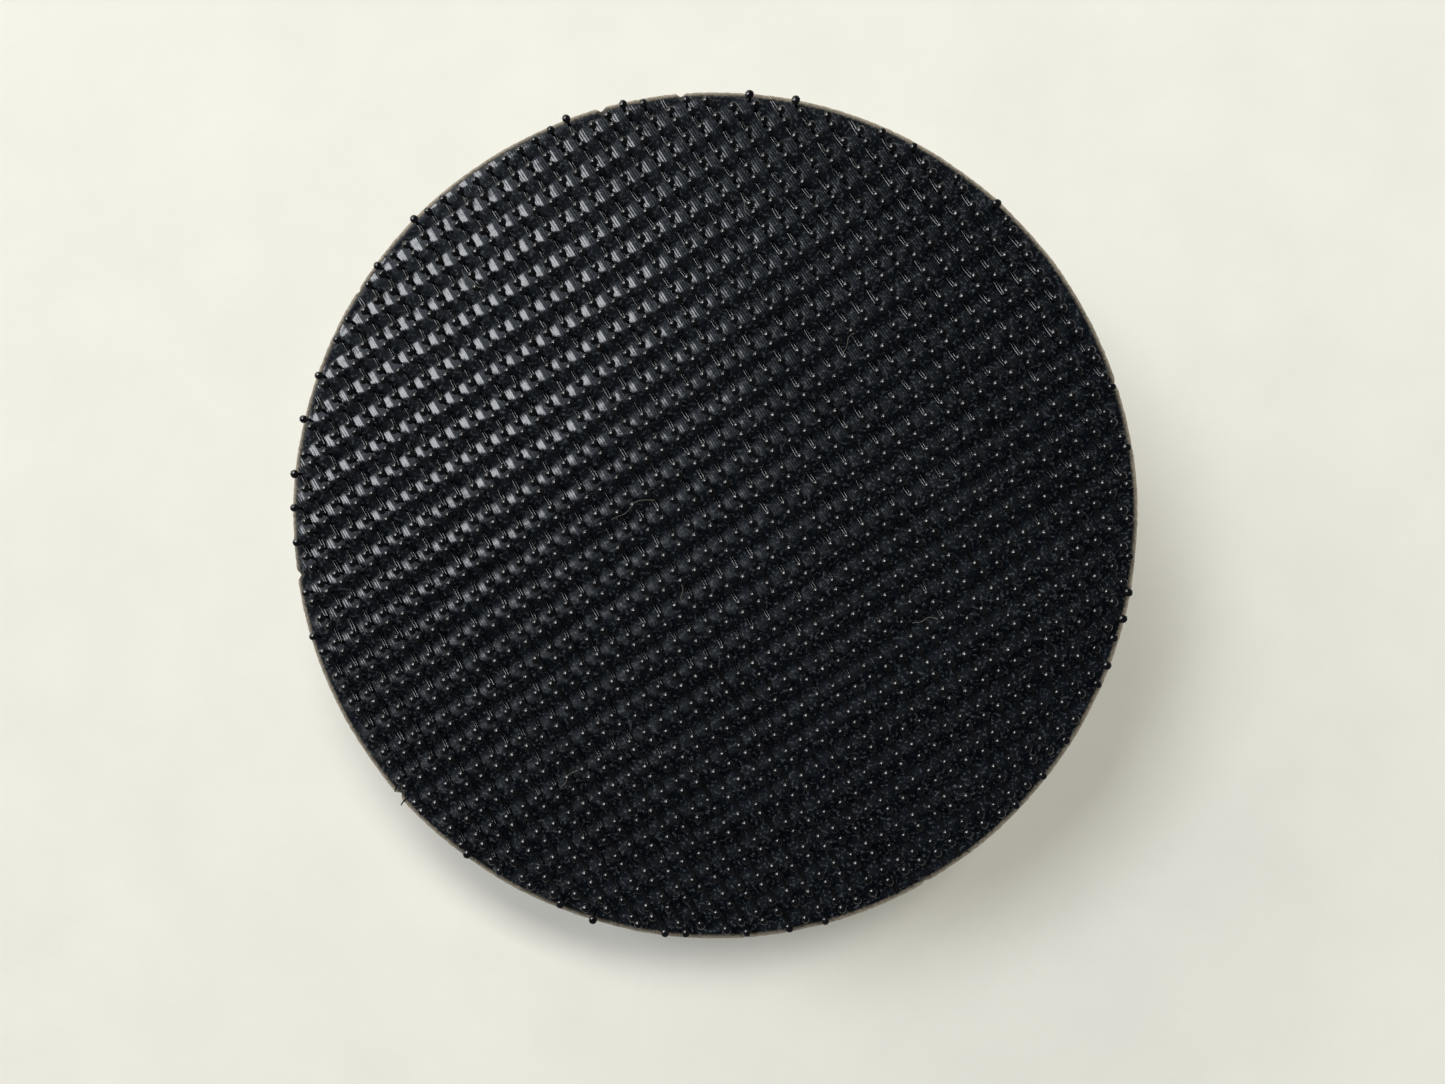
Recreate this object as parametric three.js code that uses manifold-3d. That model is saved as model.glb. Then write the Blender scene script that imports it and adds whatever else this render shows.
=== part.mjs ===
// A 75 mm backing pad for a rotary polisher. A woven hook sheet is bonded to a foam cushion, and the
// cushion to a glass-filled nylon plate. Six rivets with washers hold the plate on a pressed steel flange,
// and a round nut with an M14 thread and two spanner flats is staked through the flange.
// Units are millimetres. The pad stands on the nut's open end at z = 0, and its hooks face up, +Z.
import * as THREE from "three";
import { mergeVertices } from "three/addons/utils/BufferGeometryUtils.js";
import Module from "manifold-3d";

// Driving dimensions.
const PAD_RADIUS = 37.5;
const HOOK_HEIGHT = 1.5; // from the sheet's face to the tips of the hooks
const SHEET_THICKNESS = 0.625;
const ADHESIVE_THICKNESS = 0.25;
const FOAM_THICKNESS = 9.75; // between the two adhesive films
const PLATE_THICKNESS = 3;
const PLATE_RADIUS = 34;
const FLANGE_THICKNESS = 2;
const FLANGE_RADIUS = 23;
const WASHER_THICKNESS = 1;
const NECK_LENGTH = 13; // the nut, from its open end to the flange
const NECK_RADIUS = 12;
const ACROSS_FLATS = 22;
const FLAT_LENGTH = 9;
const THREAD_PITCH = 2; // M14 x 2
const THREAD_MAJOR_RADIUS = 7;
const THREAD_MINOR_RADIUS = 5.92;
const RIVET_COUNT = 6;
const RIVET_CIRCLE_RADIUS = 17.5;
const RIVET_SHANK_RADIUS = 2;
const RIVET_CLEARANCE = 0.2; // radial, shank to hole
const RIB_COUNT = 12;

// Heights of the layers, from the nut's open end upwards.
const FLANGE_Z = NECK_LENGTH;
const PLATE_Z = FLANGE_Z + FLANGE_THICKNESS;
const PLATE_TOP_Z = PLATE_Z + PLATE_THICKNESS;
const FOAM_Z = PLATE_TOP_Z + ADHESIVE_THICKNESS;
const FACING_Z = FOAM_Z + FOAM_THICKNESS;
const SHEET_Z = FACING_Z + ADHESIVE_THICKNESS;
const PILE_Z = SHEET_Z + SHEET_THICKNESS;

// How finely round things are cut.
const DISC_SEGMENTS = 80;
const HUB_SEGMENTS = 48;
const RIVET_SEGMENTS = 16;
const THREAD_SEGMENTS = 32;
const ARC_POINTS = 3;

const wasm = await Module();
wasm.setup();

// A closed outline of [radius, z] corners turned round the Z axis. It runs upwards on its outer side.
function revolve(outline, segments) {
  const points = outline.map(([radius, z]) => new THREE.Vector2(radius, z));
  return new THREE.LatheGeometry(points, segments).rotateX(Math.PI / 2);
}

// The [radius, z] corners of a THREE.Path, its curves cut into ARC_POINTS steps.
function cornersOf(path) {
  return path.getPoints(ARC_POINTS).map((point) => [point.x, point.y]);
}

// A flat disc or washer from z = 0 up.
function disc({ outer, inner = 0, thickness, segments = DISC_SEGMENTS }) {
  const outline = [
    [inner, 0],
    [outer, 0],
    [outer, thickness],
    [inner, thickness],
  ];
  return revolve(inner > 0 ? [...outline, outline[0]] : outline, segments);
}

function toSolid(geometry) {
  const bare = geometry.clone();
  bare.deleteAttribute("normal");
  bare.deleteAttribute("uv");
  const merged = mergeVertices(bare, 1e-4);
  const triangles = [];
  for (let i = 0; i < merged.index.count; i += 3) {
    const corners = [0, 1, 2].map((k) => merged.index.getX(i + k));
    if (new Set(corners).size === 3) triangles.push(...corners);
  }
  return new wasm.Manifold(
    new wasm.Mesh({
      numProp: 3,
      vertProperties: merged.attributes.position.array,
      triVerts: new Uint32Array(triangles),
    }),
  );
}

function toGeometry(solid) {
  const mesh = solid.getMesh();
  const geometry = new THREE.BufferGeometry();
  geometry.setAttribute("position", new THREE.BufferAttribute(mesh.vertProperties, 3));
  geometry.setIndex(new THREE.BufferAttribute(mesh.triVerts, 1));
  geometry.computeVertexNormals();
  return geometry;
}

// The angles of count evenly spaced things round the axis.
function anglesRound(count) {
  return Array.from({ length: count }, (_, i) => (i * 2 * Math.PI) / count);
}

// Drills the rivet holes through a solid.
function drillRivetHoles(solid) {
  const radius = RIVET_SHANK_RADIUS + RIVET_CLEARANCE;
  const drill = new THREE.CylinderGeometry(radius, radius, 20, RIVET_SEGMENTS).rotateX(Math.PI / 2);
  return anglesRound(RIVET_COUNT).reduce((left, angle) => {
    const x = RIVET_CIRCLE_RADIUS * Math.cos(angle);
    const y = RIVET_CIRCLE_RADIUS * Math.sin(angle);
    return left.subtract(toSolid(drill.clone().translate(x, y, 0)));
  }, solid);
}

// A screw with a metric profile, which cuts the nut's thread: it runs from startZ for so many turns.
// Each turn has four helical rows, at the two edges of the thread's root and the two of its crest.
function threadTap(startZ, turns) {
  const rowsPerTurn = 4;
  const rowShare = [0, 1 / 4, 9 / 16, 11 / 16]; // of the pitch
  const [inner, outer] = [THREAD_MINOR_RADIUS, THREAD_MAJOR_RADIUS];
  const rowRadius = [inner, inner, outer, outer];
  const rows = turns * rowsPerTurn + rowsPerTurn + 1;
  const vertices = [];
  for (let j = 0; j < THREAD_SEGMENTS; j++) {
    const turned = j / THREAD_SEGMENTS;
    for (let i = 0; i < rows; i++) {
      const row = i % rowsPerTurn;
      const z = startZ + THREAD_PITCH * (Math.floor(i / rowsPerTurn) + rowShare[row] + turned);
      const radius = rowRadius[row];
      vertices.push(radius * Math.cos(2 * Math.PI * turned), radius * Math.sin(2 * Math.PI * turned), z);
    }
  }
  // The seam: column THREAD_SEGMENTS is column 0, one turn higher.
  const at = (j, i) => (j < THREAD_SEGMENTS ? j * rows + i : i + rowsPerTurn);
  const lastRow = rows - 1 - rowsPerTurn;
  const triangles = [];
  for (let j = 0; j < THREAD_SEGMENTS; j++) {
    for (let i = 0; i < lastRow; i++) {
      triangles.push(at(j, i), at(j + 1, i), at(j + 1, i + 1));
      triangles.push(at(j, i), at(j + 1, i + 1), at(j, i + 1));
    }
  }
  const bottom = vertices.length / 3;
  vertices.push(0, 0, startZ - THREAD_PITCH, 0, 0, startZ + THREAD_PITCH * (turns + 2));
  const columns = Array.from({ length: THREAD_SEGMENTS + 1 }, (_, j) => j);
  const seam = Array.from({ length: rowsPerTurn }, (_, i) => i);
  const bottomEdge = [...columns.map((j) => at(j, 0)), ...seam.slice(1).reverse(), 0];
  const topEdge = [...columns.map((j) => at(j, lastRow)), ...seam.reverse().map((i) => lastRow + i)];
  bottomEdge.slice(1).forEach((corner, k) => triangles.push(bottom, corner, bottomEdge[k]));
  topEdge.slice(1).forEach((corner, k) => triangles.push(bottom + 1, topEdge[k], corner));
  return new wasm.Manifold(
    new wasm.Mesh({
      numProp: 3,
      vertProperties: new Float32Array(vertices),
      triVerts: new Uint32Array(triangles),
    }),
  );
}

// The nut: a neck with two spanner flats, and a spigot staked over the flange that it goes through.
function hubNut() {
  const spigotRadius = 9;
  const stakedRadius = 10;
  const stakedZ = PLATE_Z;
  const endZ = stakedZ + 0.75;
  const chamfer = 1;
  const body = toSolid(
    revolve(
      [
        [0, 0],
        [NECK_RADIUS - chamfer, 0],
        [NECK_RADIUS, chamfer],
        [NECK_RADIUS, FLANGE_Z],
        [spigotRadius, FLANGE_Z],
        [spigotRadius, stakedZ],
        [stakedRadius, stakedZ],
        [stakedRadius - 0.5, endZ],
        [0, endZ],
      ],
      HUB_SEGMENTS,
    ),
  );
  const cutterSize = 30;
  const cutter = new THREE.BoxGeometry(cutterSize, cutterSize, 2 * FLAT_LENGTH);
  const flatOffset = (ACROSS_FLATS + cutterSize) / 2;
  const flats = [-flatOffset, flatOffset].map((y) => toSolid(cutter.clone().translate(0, y, 0)));
  const countersink = toSolid(
    revolve(
      [
        [0, -1],
        [THREAD_MAJOR_RADIUS + 1.5, -1],
        [THREAD_MINOR_RADIUS - 0.5, 2.08],
        [0, 2.08],
      ],
      HUB_SEGMENTS,
    ),
  );
  const turns = Math.ceil(endZ / THREAD_PITCH) + 1;
  const cuts = [...flats, countersink, threadTap(-2 * THREAD_PITCH, turns + 1)];
  return toGeometry(cuts.reduce((left, cut) => left.subtract(cut), body));
}

// The pressed flange: a flat steel disc with a rolled-down edge and a hole for the nut's spigot.
function hubFlange() {
  const holeRadius = 9.3;
  const edgeDrop = 0.75;
  const outline = [
    [holeRadius, 0],
    [FLANGE_RADIUS - 1.5, 0],
    [FLANGE_RADIUS - 1, -edgeDrop],
    [FLANGE_RADIUS, -edgeDrop],
    [FLANGE_RADIUS, FLANGE_THICKNESS - 0.5],
    [FLANGE_RADIUS - 0.5, FLANGE_THICKNESS],
    [holeRadius, FLANGE_THICKNESS],
    [holeRadius, 0],
  ];
  return toGeometry(drillRivetHoles(toSolid(revolve(outline, DISC_SEGMENTS))));
}

// A solid rivet: a domed head under the flange, below z = 0, and a clinched tail on its washer.
function rivet() {
  const grip = FLANGE_THICKNESS + PLATE_THICKNESS + WASHER_THICKNESS;
  const headRadius = 3.6;
  const headHeight = 1.6;
  const tailRadius = 3.2;
  const tailHeight = 1.2;
  const outline = new THREE.Path();
  outline.moveTo(0, -headHeight);
  outline.quadraticCurveTo(headRadius * 0.8, -headHeight, headRadius, 0);
  outline.lineTo(RIVET_SHANK_RADIUS, 0);
  outline.lineTo(RIVET_SHANK_RADIUS, grip);
  outline.lineTo(tailRadius, grip);
  outline.quadraticCurveTo(tailRadius, grip + tailHeight, tailRadius / 2, grip + tailHeight);
  outline.lineTo(0, grip + tailHeight);
  return revolve(cornersOf(outline), RIVET_SEGMENTS);
}

function rivetWasher() {
  const inner = RIVET_SHANK_RADIUS + RIVET_CLEARANCE;
  return disc({ outer: 4.5, inner, thickness: WASHER_THICKNESS, segments: RIVET_SEGMENTS });
}

// The moulded plate: a disc with a bead round its edge and ribs on the machine's side, round the flange.
function backingPlate() {
  const centreHoleRadius = 10.75;
  const ribHeight = 1.5;
  const ribWidth = 1.75;
  const ribStart = FLANGE_RADIUS + 1;
  const beadWidth = 2;
  const edge = 0.5;
  const outline = [
    [centreHoleRadius, 0],
    [PLATE_RADIUS - beadWidth - edge, 0],
    [PLATE_RADIUS - beadWidth, -ribHeight],
    [PLATE_RADIUS - edge, -ribHeight],
    [PLATE_RADIUS, -ribHeight + edge],
    [PLATE_RADIUS, PLATE_THICKNESS],
    [centreHoleRadius, PLATE_THICKNESS],
    [centreHoleRadius, 0],
  ];
  const ribEnd = PLATE_RADIUS - beadWidth + edge;
  const rib = new THREE.BoxGeometry(ribEnd - ribStart, ribWidth, 2 * ribHeight);
  rib.translate((ribStart + ribEnd) / 2, 0, 0);
  const ribbed = anglesRound(RIB_COUNT).reduce(
    (plate, angle) => plate.add(toSolid(rib.clone().rotateZ(angle))),
    toSolid(revolve(outline, DISC_SEGMENTS)),
  );
  return toGeometry(drillRivetHoles(ribbed));
}

// The cushion, from the plate's adhesive up. Its lip hangs down round the plate's edge, and its middle is
// hollow below, over the washers and the rivets' tails.
function foamCushion() {
  const topRadius = PAD_RADIUS - 0.25;
  const lipRadius = PLATE_RADIUS + 1.75;
  const lipDrop = 2.5;
  const pocketRadius = PLATE_RADIUS + 0.3;
  const hollowRadius = FLANGE_RADIUS + 1;
  const hollowHeight = 3;
  const outline = new THREE.Path();
  outline.moveTo(0, hollowHeight);
  outline.lineTo(hollowRadius, hollowHeight);
  outline.lineTo(hollowRadius, 0);
  outline.lineTo(pocketRadius, 0);
  outline.lineTo(pocketRadius, -lipDrop);
  outline.quadraticCurveTo(lipRadius, -lipDrop, lipRadius, -lipDrop + 1);
  outline.quadraticCurveTo(topRadius - 0.25, FOAM_THICKNESS / 2, topRadius, FOAM_THICKNESS - 0.5);
  outline.lineTo(topRadius - 0.25, FOAM_THICKNESS);
  outline.lineTo(0, FOAM_THICKNESS);
  return revolve(cornersOf(outline), DISC_SEGMENTS);
}

const nylonHooks = new THREE.MeshStandardMaterial({ color: 0x16181b, roughness: 0.3, metalness: 0 });
const wovenSheet = new THREE.MeshStandardMaterial({ color: 0x1d2023, roughness: 0.5, metalness: 0 });
const adhesive = new THREE.MeshStandardMaterial({ color: 0x8a8272, roughness: 0.4, metalness: 0 });
const foam = new THREE.MeshStandardMaterial({ color: 0x1b1b1c, roughness: 0.85, metalness: 0 });
const filledNylon = new THREE.MeshStandardMaterial({ color: 0x1e1f21, roughness: 0.55, metalness: 0 });
const platedSteel = new THREE.MeshStandardMaterial({ color: 0xb9bbbd, roughness: 0.35, metalness: 1 });

const pad = new THREE.Group();

function place(name, geometry, material, z, parent = pad) {
  const mesh = new THREE.Mesh(geometry, material);
  mesh.name = name;
  mesh.position.z = z;
  parent.add(mesh);
}

const hub = new THREE.Group();
pad.add(hub);
place("hub_nut", hubNut(), platedSteel, 0, hub);
place("hub_flange", hubFlange(), platedSteel, FLANGE_Z, hub);
anglesRound(RIVET_COUNT).forEach((angle, i) => {
  const fastener = new THREE.Group();
  fastener.position.x = RIVET_CIRCLE_RADIUS * Math.cos(angle);
  fastener.position.y = RIVET_CIRCLE_RADIUS * Math.sin(angle);
  hub.add(fastener);
  place(`rivet_${i + 1}`, rivet(), platedSteel, FLANGE_Z, fastener);
  place(`rivet_washer_${i + 1}`, rivetWasher(), platedSteel, PLATE_TOP_Z, fastener);
});

place("backing_plate", backingPlate(), filledNylon, PLATE_Z);
const plateFilm = disc({
  outer: PLATE_RADIUS - 0.5,
  inner: FLANGE_RADIUS + 1.5,
  thickness: ADHESIVE_THICKNESS,
});
place("plate_adhesive", plateFilm, adhesive, PLATE_TOP_Z);
place("foam_cushion", foamCushion(), foam, FOAM_Z);

const facingFilm = disc({ outer: PAD_RADIUS - 0.5, thickness: ADHESIVE_THICKNESS });
place("facing_adhesive", facingFilm, adhesive, FACING_Z);
place("hook_sheet", disc({ outer: PAD_RADIUS, thickness: SHEET_THICKNESS }), wovenSheet, SHEET_Z);
place("hook_pile", disc({ outer: PAD_RADIUS, thickness: HOOK_HEIGHT }), nylonHooks, PILE_Z);

export default pad;
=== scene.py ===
"""The looks of a hook-faced backing pad for a rotary polisher, as a Blender add-on."""

import math
import random

import bmesh
import bpy
from bpy.props import FloatProperty, FloatVectorProperty, IntProperty, PointerProperty
from mathutils import Matrix, Vector, noise


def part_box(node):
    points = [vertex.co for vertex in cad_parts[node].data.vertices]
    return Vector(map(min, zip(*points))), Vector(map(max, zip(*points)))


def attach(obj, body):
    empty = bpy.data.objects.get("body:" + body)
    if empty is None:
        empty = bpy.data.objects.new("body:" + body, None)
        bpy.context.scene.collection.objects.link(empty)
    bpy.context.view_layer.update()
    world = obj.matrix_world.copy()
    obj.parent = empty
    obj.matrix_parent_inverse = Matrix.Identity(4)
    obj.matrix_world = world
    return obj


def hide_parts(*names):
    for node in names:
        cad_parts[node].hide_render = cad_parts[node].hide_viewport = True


bl_info = {
    "name": "Backing Pad",
    "version": (1, 0, 0),
    "blender": (4, 5, 0),
    "location": "3D View > Sidebar > Backing Pad",
    "description": "Builds a hook-faced backing pad piece by piece",
    "category": "Add Mesh",
}

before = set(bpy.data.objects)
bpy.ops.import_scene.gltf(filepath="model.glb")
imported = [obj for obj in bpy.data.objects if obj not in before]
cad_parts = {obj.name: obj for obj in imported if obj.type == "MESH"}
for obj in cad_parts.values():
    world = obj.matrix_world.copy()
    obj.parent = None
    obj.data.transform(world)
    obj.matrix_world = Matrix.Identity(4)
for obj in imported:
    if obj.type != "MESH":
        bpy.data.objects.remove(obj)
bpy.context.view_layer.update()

MM = 0.001
BODY = "root"
SHEET_LOW, SHEET_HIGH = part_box("hook_sheet")
TIPS_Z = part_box("hook_pile")[1].z
FACE_Z = SHEET_HIGH.z
FACE_RADIUS = SHEET_HIGH.x
HOOK_HEIGHT = TIPS_Z - FACE_Z
LIGHT_DISTANCE = 1.5
TABLE_HALF_WIDTH = 1.6

# Each nick in the cut edge: its direction in degrees and its share of the full notch depth.
NICKS = ((93.5, 0.8), (104.6, 0.9), (147, 0.5), (188, 1.0), (222, 0.9), (301, 0.5), (18, 0.4))

# Each cut filament end: its direction in degrees and how far it stands out, in mm.
CUT_ENDS = ((223, 0.9), (221, 0.5), (308, 0.4), (331, 0.3), (141, 0.35), (66, 0.3))

# Each lint fibre: its middle's X and Y and its length in mm, its direction in degrees and its bend.
LINT = (
    (-6.4, 0.6, 4.2, 30, 0.5),
    (-2.0, -6.5, 2.0, 88, 0.3),
    (12.5, 15.0, 2.4, 62, 0.7),
    (-20.5, 21.0, 2.6, 140, 0.8),
    (19.0, -9.0, 2.2, 15, 0.5),
    (3.5, 27.0, 1.8, 105, 0.6),
    (-12.0, -23.0, 2.1, 50, 0.6),
)


def linear(hex_colour):
    """The linear red, green and blue of an sRGB hex colour."""
    shares = [int(hex_colour[i : i + 2], 16) / 255 for i in (0, 2, 4)]
    return [s / 12.92 if s <= 0.04045 else ((s + 0.055) / 1.055) ** 2.4 for s in shares]


def colour(name, description, hex_colour):
    """A colour that the user may change."""
    return FloatVectorProperty(
        name=name,
        description=description,
        subtype="COLOR",
        min=0,
        max=1,
        default=linear(hex_colour),
    )


def length(name, description, millimetres):
    """A length that the user may change."""
    default = millimetres * MM
    return FloatProperty(name=name, description=description, unit="LENGTH", precision=5, default=default)


class HookSettings(bpy.types.PropertyGroup):
    row_pitch: length("Row pitch", "From one row of hooks to the next", 1.61)
    pair_pitch: length("Pair pitch", "From one pair of hooks to the next, along a row", 2.64)
    pair_gap: length("Pair gap", "Between the two hooks of a pair", 1.0)
    row_angle: FloatProperty(
        name="Row angle",
        description="Turn of the rows from the Y axis",
        subtype="ANGLE",
        default=math.radians(32),
    )
    head_width: length("Head width", "Across a hook's melted head", 0.84)
    filament_width: length("Filament width", "Across the filament of the stems and floats", 0.26)
    lean: FloatProperty(
        name="Lean",
        description="Most that a hook leans from upright",
        subtype="ANGLE",
        default=math.radians(6),
    )
    colour: colour("Nylon", "Colour of the monofilament", "0B0C0E")


class SheetSettings(bpy.types.PropertyGroup):
    # Drawn coarser than the real yarns, which are probably 0.18 mm apart: a render can't resolve those.
    yarn_pitch: length("Yarn pitch", "From one ground yarn to the next", 0.24)
    pucker: length("Pucker", "How far the filaments draw the ground up", 0.2)
    edge_slope: length("Edge slope", "How far the cut edge slopes out", 0.42)
    notch_depth: length("Notch depth", "Depth of the nicks in the cut edge", 0.4)
    colour: colour("Coating", "Colour of the coated yarns", "05080D")
    edge_colour: colour("Cut edge", "Colour of the resin and yarn ends at the cut", "8F8778")
    glue_colour: colour("Adhesive", "Colour of the adhesive under the sheet", "8A8068")
    lint_colour: colour("Lint", "Colour of the stray fibres on the hooks", "8E8A7E")


class BodySettings(bpy.types.PropertyGroup):
    cell_size: length("Cell size", "Across a cell of the foam", 0.55)
    foam_colour: colour("Foam", "Colour of the cushion", "1B1C1E")
    nylon_colour: colour("Plate", "Colour of the moulded plate", "1C1D1F")
    rib_count: IntProperty(name="Ribs", description="Ribs round the plate", default=12)


class HubSettings(bpy.types.PropertyGroup):
    steel_colour: colour("Zinc", "Colour of the plated steel", "C4C6C8")
    turning_pitch: length("Turning pitch", "From one tool mark to the next", 0.16)


class StageSettings(bpy.types.PropertyGroup):
    camera_height: length("Camera height", "From the hook face to the camera", 92.1)
    floor_colour: colour("Table", "Colour of the table top", "E6E6DE")
    key_power: FloatProperty(name="Key light", description="Power of the main light", default=9.9)
    room_light: FloatProperty(name="Room", description="Strength of the light all round", default=0.34)


def add_node(tree, kind, settings=None, inputs=None):
    """Adds a node to a tree, with its properties set and its inputs set or linked by name or number."""
    made = tree.nodes.new(kind)
    for name, value in (settings or {}).items():
        setattr(made, name, value)
    for key, value in (inputs or {}).items():
        if isinstance(value, bpy.types.NodeSocket):
            tree.links.new(value, made.inputs[key])
        else:
            made.inputs[key].default_value = value
    return made


def new_material(name, values):
    """A material with a principled shader whose own sockets hold the given values."""
    material = bpy.data.materials.new(name)
    material.use_nodes = True
    tree = material.node_tree
    tree.nodes.clear()
    shader = add_node(tree, "ShaderNodeBsdfPrincipled", inputs=values)
    add_node(tree, "ShaderNodeOutputMaterial", inputs={"Surface": shader.outputs[0]})
    return material, tree, shader


def shaded(base, factor):
    """A colour made lighter or darker, as a colour ramp's stop takes it."""
    return (*(min(1, c * factor) for c in base), 1)


def ramp(tree, value, low, high, start=0.0, end=1.0):
    """A colour that goes from low to high as value goes from start to end."""
    made = add_node(tree, "ShaderNodeValToRGB", inputs={0: value})
    first, last = made.color_ramp.elements
    first.position, first.color = start, low
    last.position, last.color = end, high
    return made.outputs[0]


def noise_value(tree, place, size, detail=3.0, roughness=0.55):
    """Noise whose lumps are about size metres across."""
    made = add_node(
        tree,
        "ShaderNodeTexNoise",
        inputs={"Vector": place, "Scale": 1 / size, "Detail": detail, "Roughness": roughness},
    )
    return made.outputs[0]


def mixed(tree, share, first, second):
    """The first colour, turned towards the second by share."""
    inputs = {0: share, 6: first, 7: second}
    return add_node(tree, "ShaderNodeMix", {"data_type": "RGBA"}, inputs).outputs[2]


def object_place(tree):
    """The shaded point in the piece's own coordinates, which are the frame's."""
    return add_node(tree, "ShaderNodeTexCoord").outputs["Object"]


def from_axis(tree, split):
    """How far a point, split into X, Y and Z, is from the Z axis."""
    flat = add_node(tree, "ShaderNodeCombineXYZ", inputs={0: split[0], 1: split[1]}).outputs[0]
    return add_node(tree, "ShaderNodeVectorMath", {"operation": "LENGTH"}, {0: flat}).outputs["Value"]


def between(tree, value, low, high):
    """value, from 0 to 1, taken to the range from low to high."""
    made = add_node(tree, "ShaderNodeMapRange", inputs={"Value": value, "To Min": low, "To Max": high})
    return made.outputs[0]


def calculated(tree, operation, *values):
    """A Math node's result."""
    inputs = dict(enumerate(values))
    return add_node(tree, "ShaderNodeMath", {"operation": operation}, inputs).outputs[0]


def bumped(tree, shader, height, distance, strength=1.0):
    """Raises the shader's surface by height times distance, in metres."""
    made = add_node(
        tree,
        "ShaderNodeBump",
        inputs={"Height": height, "Distance": distance, "Strength": strength},
    )
    tree.links.new(made.outputs[0], shader.inputs["Normal"])


def moulded_nylon_filament(base):
    # Nylon 6 monofilament with flame-melted tips: wet-looking black, its gloss broken by fine ripples.
    material, tree, shader = new_material("nylon_monofilament", {"IOR": 1.62})
    place = object_place(tree)
    lumps = noise_value(tree, place, 0.25 * MM)
    drift = noise_value(tree, place, 6 * MM, detail=1)
    tint = ramp(tree, drift, shaded(base, 0.7), shaded(base, 1.8), 0.3, 0.7)
    tree.links.new(tint, shader.inputs["Base Color"])
    tree.links.new(between(tree, lumps, 0.08, 0.24), shader.inputs["Roughness"])
    bumped(tree, shader, lumps, 0.02 * MM, 0.6)
    return material


def coated_woven_polyester(sheet, hooks):
    # Coated woven polyester: dusty black yarns, pressed flat and shiny where the filaments draw them up.
    base = sheet.colour
    material, tree, shader = new_material(
        "coated_woven_polyester",
        {
            "IOR": 1.31,
            "Roughness": 0.42,
            "Specular Tint": (0.84, 0.93, 1.0, 1),
            "Coat IOR": 1.46,
            "Coat Roughness": 0.18,
        },
    )
    place = object_place(tree)
    turned_place = add_node(
        tree,
        "ShaderNodeMapping",
        inputs={"Vector": place, "Rotation": (0, 0, -hooks.row_angle)},
    ).outputs[0]
    split = add_node(tree, "ShaderNodeSeparateXYZ", inputs={0: turned_place}).outputs
    grit = noise_value(tree, place, 0.3 * MM, detail=4, roughness=0.75)
    lumps = noise_value(tree, place, 0.7 * MM, detail=2)

    def wave(value, pitch, offset):
        """A cosine along value that peaks at offset, give or take what the lumps push it off."""
        turns = 2 * math.pi / pitch
        push = 0.9
        angle = calculated(tree, "MULTIPLY_ADD", value, turns, -turns * offset - push / 2)
        return calculated(tree, "COSINE", calculated(tree, "MULTIPLY_ADD", lumps, push, angle))

    warp = wave(split[0], sheet.yarn_pitch, 0.0)
    weft = wave(split[1], sheet.yarn_pitch * 2.2, 0.0)
    # The pressed places are rounded rectangles, one beside each pair of hooks.
    beside_row = calculated(tree, "SUBTRACT", wave(split[0], hooks.row_pitch, 0.46 * MM), 0.32)
    by_pair = wave(split[1], hooks.pair_pitch, 0.12 * MM)
    by_pair = calculated(tree, "MULTIPLY_ADD", by_pair, 0.8, 0.05)
    pressed = calculated(tree, "MINIMUM", beside_row, by_pair)
    pressed = calculated(tree, "MULTIPLY_ADD", lumps, 0.5, pressed)
    pressed = calculated(tree, "MULTIPLY_ADD", warp, 0.12, pressed)
    shine = add_node(
        tree,
        "ShaderNodeMapRange",
        {"interpolation_type": "SMOOTHSTEP"},
        {"Value": pressed, "From Min": 0.05, "From Max": 0.45},
    ).outputs[0]
    ribs = calculated(tree, "MULTIPLY_ADD", weft, 0.4, warp)
    height = calculated(tree, "MULTIPLY_ADD", grit, 1.6, ribs)
    dust = ramp(tree, grit, (0, 0, 0, 1), (1, 1, 1, 1), 0.54, 0.67)
    patches = noise_value(tree, place, 5 * MM, detail=2)
    tint = ramp(tree, patches, shaded(base, 0.6), shaded(base, 1.5), 0.3, 0.7)
    dusty = mixed(tree, calculated(tree, "MULTIPLY", dust, 0.8), tint, (*linear("555A5F"), 1))
    tree.links.new(dusty, shader.inputs["Base Color"])
    tree.links.new(shine, shader.inputs["Coat Weight"])
    bumped(tree, shader, height, 0.004 * MM)
    # The pressed coating is smoother than the yarns, so it has a lower bump of its own.
    smoother = add_node(tree, "ShaderNodeBump", inputs={"Height": height, "Distance": 0.0022 * MM})
    tree.links.new(smoother.outputs[0], shader.inputs["Coat Normal"])
    return material


def cut_resin_edge(base):
    # The die-cut edge of the tape: dull resin with pale and dark yarn ends, palest where it is cut through.
    material, tree, shader = new_material("cut_tape_edge", {"IOR": 1.5, "Roughness": 0.7})
    place = object_place(tree)
    split = add_node(tree, "ShaderNodeSeparateXYZ", inputs={0: place}).outputs
    outwards = add_node(
        tree,
        "ShaderNodeMapRange",
        inputs={
            "Value": from_axis(tree, split),
            "From Min": FACE_RADIUS - 0.5 * MM,
            "From Max": FACE_RADIUS,
        },
    ).outputs[0]
    ends = noise_value(tree, place, 0.3 * MM, detail=4, roughness=0.7)
    paleness = calculated(tree, "MULTIPLY_ADD", ends, 1.2, calculated(tree, "SUBTRACT", outwards, 0.6))
    tint = ramp(tree, paleness, shaded(base, 0.12), shaded(base, 1.3), 0.15, 0.95)
    tree.links.new(tint, shader.inputs["Base Color"])
    bumped(tree, shader, ends, 0.05 * MM)
    return material


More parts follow.
